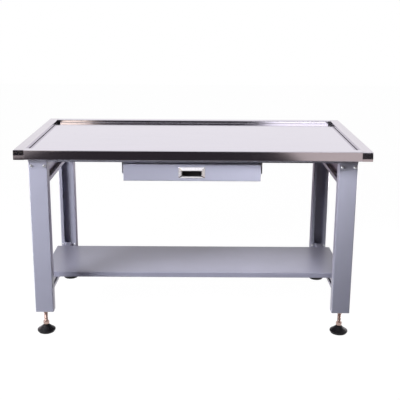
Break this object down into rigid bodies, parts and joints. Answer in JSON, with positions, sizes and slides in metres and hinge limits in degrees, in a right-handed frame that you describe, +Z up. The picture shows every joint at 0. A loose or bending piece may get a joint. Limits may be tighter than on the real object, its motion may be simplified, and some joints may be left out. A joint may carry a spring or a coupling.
{
  "type": "work table",
  "caption": "Work table with a rimmed sheet-metal worktop, channel legs on levelling feet, a half-depth shelf and a shallow drawer under the top.",
  "frame": {"origin": "on the floor, under the centre of the worktop", "axes": "+X to the right as seen from the drawer, +Y to the back, +Z up"},
  "size_m": [1.5, 0.8, 0.85],
  "materials": {
    "stainless": "satin",
    "powder_grey": "satin",
    "board": "matte",
    "chrome": "polished",
    "bright_zinc": "satin",
    "foot_zinc": "satin",
    "runner_steel": "satin",
    "pad_plastic": "matte",
    "sole_rubber": "matte"
  },
  "bodies": {
    "table": {"worktop_tray": "stainless", "side_rim_left": "stainless", "side_rim_right": "stainless", "worktop_board": "board", "front_beam": "powder_grey", "rear_beam": "powder_grey", "leg_front_left": "powder_grey", "leg_front_right": "powder_grey", "leg_rear_left": "powder_grey", "leg_rear_right": "powder_grey", "leg_foot_plates": "powder_grey", "foot_weld_nuts": "foot_zinc", "foot_lock_nuts": "foot_zinc", "upper_side_rail_left": "powder_grey", "upper_side_rail_right": "powder_grey", "lower_side_rail_left": "powder_grey", "lower_side_rail_right": "powder_grey", "leg_head_bolts": "bright_zinc", "leg_head_nuts": "bright_zinc", "side_rail_bolts": "bright_zinc", "side_rail_nuts": "bright_zinc", "worktop_screws": "bright_zinc", "shelf_pan": "powder_grey", "shelf_stiffeners": "powder_grey", "shelf_bolts": "bright_zinc", "shelf_nuts": "bright_zinc", "drawer_housing": "powder_grey", "drawer_hanger": "powder_grey", "housing_screws": "bright_zinc", "runner_outer_left": "runner_steel", "runner_outer_right": "runner_steel", "runner_outer_rivets": "bright_zinc"},
    "drawer": {"runner_inner_left": "runner_steel", "runner_inner_right": "runner_steel", "runner_inner_rivets": "bright_zinc", "drawer_box": "powder_grey", "drawer_front": "powder_grey", "drawer_front_screws": "bright_zinc", "handle": "chrome", "handle_screws": "bright_zinc"},
    "runner_left": {"runner_middle_left": "runner_steel", "runner_cages_left": "bright_zinc"},
    "runner_right": {"runner_middle_right": "runner_steel", "runner_cages_right": "bright_zinc"},
    "stud_front_left": {"foot_stud_front_left": "foot_zinc"},
    "pad_front_left": {"foot_pad_front_left": "pad_plastic", "foot_sole_front_left": "sole_rubber"},
    "stud_front_right": {"foot_stud_front_right": "foot_zinc"},
    "pad_front_right": {"foot_pad_front_right": "pad_plastic", "foot_sole_front_right": "sole_rubber"},
    "stud_rear_left": {"foot_stud_rear_left": "foot_zinc"},
    "pad_rear_left": {"foot_pad_rear_left": "pad_plastic", "foot_sole_rear_left": "sole_rubber"},
    "stud_rear_right": {"foot_stud_rear_right": "foot_zinc"},
    "pad_rear_right": {"foot_pad_rear_right": "pad_plastic", "foot_sole_rear_right": "sole_rubber"}
  },
  "joints": [
    {"name": "drawer_slide", "type": "slide", "parent": "table", "child": "drawer", "axis": [0, -1, 0], "range_m": [0, 0.4]},
    {"name": "left_runner_slide", "type": "slide", "parent": "table", "child": "runner_left", "axis": [0, -1, 0], "range_m": [0, 0.2]},
    {"name": "right_runner_slide", "type": "slide", "parent": "table", "child": "runner_right", "axis": [0, -1, 0], "range_m": [0, 0.2]},
    {"name": "foot_screw_front_left", "type": "slide", "parent": "table", "child": "stud_front_left", "axis": [0, 0, 1], "range_m": [-0.03, 0.03]},
    {"name": "foot_screw_front_right", "type": "slide", "parent": "table", "child": "stud_front_right", "axis": [0, 0, 1], "range_m": [-0.03, 0.03]},
    {"name": "foot_screw_rear_left", "type": "slide", "parent": "table", "child": "stud_rear_left", "axis": [0, 0, 1], "range_m": [-0.03, 0.03]},
    {"name": "foot_screw_rear_right", "type": "slide", "parent": "table", "child": "stud_rear_right", "axis": [0, 0, 1], "range_m": [-0.03, 0.03]},
    {"name": "pad_tilt_front_left", "type": "hinge", "parent": "stud_front_left", "child": "pad_front_left", "pos_m": [-0.66, -0.3275, 0.024], "axis": [0, 1, 0], "range_deg": [-8, 8]},
    {"name": "pad_tilt_front_right", "type": "hinge", "parent": "stud_front_right", "child": "pad_front_right", "pos_m": [0.66, -0.3275, 0.024], "axis": [0, 1, 0], "range_deg": [-8, 8]},
    {"name": "pad_tilt_rear_left", "type": "hinge", "parent": "stud_rear_left", "child": "pad_rear_left", "pos_m": [-0.66, 0.3275, 0.024], "axis": [0, 1, 0], "range_deg": [-8, 8]},
    {"name": "pad_tilt_rear_right", "type": "hinge", "parent": "stud_rear_right", "child": "pad_rear_right", "pos_m": [0.66, 0.3275, 0.024], "axis": [0, 1, 0], "range_deg": [-8, 8]}
  ],
  "couplings": [
    {"joint": "left_runner_slide", "follows": "drawer_slide", "ratio": 0.5},
    {"joint": "right_runner_slide", "follows": "drawer_slide", "ratio": 0.5}
  ]
}
